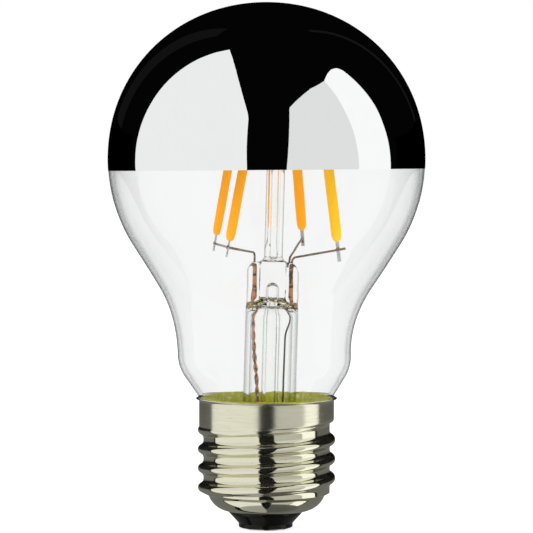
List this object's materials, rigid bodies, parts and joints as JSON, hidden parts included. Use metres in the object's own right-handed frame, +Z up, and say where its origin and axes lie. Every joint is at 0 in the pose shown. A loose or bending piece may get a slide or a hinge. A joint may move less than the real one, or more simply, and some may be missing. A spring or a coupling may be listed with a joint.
{
  "type": "led filament bulb",
  "caption": "Clear-glass LED filament bulb with a mirrored crown, a stem carrying upright filaments and a screw cap.",
  "frame": {"origin": "centre of the centre contact's lower face, the bottom end of the bulb's axis", "axes": "+Z up along the bulb's axis from the cap to the crown, +X to the right and -Y towards the camera in the picture"},
  "size_m": [0.0598, 0.0598, 0.0992],
  "materials": {
    "clear_glass": "clear blown soda-lime glass",
    "stem_glass": "clear lead-free stem glass",
    "mirror_skin": "silvered mirror coating",
    "nickel": "nickel-plated rolled brass, slightly warm",
    "black_insulator": "black insulating glass, glossy",
    "cement": "yellow-green basing cement",
    "phosphor": "yellow-orange phosphor silicone",
    "strip_metal": "plated steel strip",
    "lead_metal": "dull bronze nickel-iron wire",
    "dumet": "copper-clad seal wire",
    "copper": "bare copper wire",
    "circuit_board": "white circuit board",
    "solder": "bright solder",
    "component_black": "black moulded component",
    "capacitor_sleeve": "dark capacitor sleeve",
    "resistor_body": "lacquered resistor body"
  },
  "bodies": {
    "root": {"bridge_rectifier": "component_black", "cement_ring": "cement", "centre_contact": "nickel", "centre_post": "stem_glass", "centre_wire": "copper", "contact_pin": "nickel", "copper_lead_left_a": "copper", "copper_lead_left_b": "copper", "copper_lead_right": "copper", "driver_board": "circuit_board", "driver_chip": "component_black", "dumet_left": "dumet", "dumet_right": "dumet", "exhaust_tube": "stem_glass", "filament_left_front": "phosphor", "filament_left_rear": "phosphor", "filament_right_front": "phosphor", "filament_right_rear": "phosphor", "fuse_resistor": "resistor_body", "glass_envelope": "clear_glass", "inner_lead_left": "lead_metal", "inner_lead_right_front": "lead_metal", "inner_lead_right_rear": "lead_metal", "insulator": "black_insulator", "mirror_coating": "mirror_skin", "screw_shell": "nickel", "side_wire": "copper", "smoothing_capacitor": "capacitor_sleeve", "solder_joints": "solder", "stem_flare": "stem_glass", "strip_left_front": "strip_metal", "strip_left_rear": "strip_metal", "strip_right_front": "strip_metal", "strip_right_rear": "strip_metal", "top_support_front": "lead_metal", "top_support_rear": "lead_metal"}
  },
  "joints": []
}
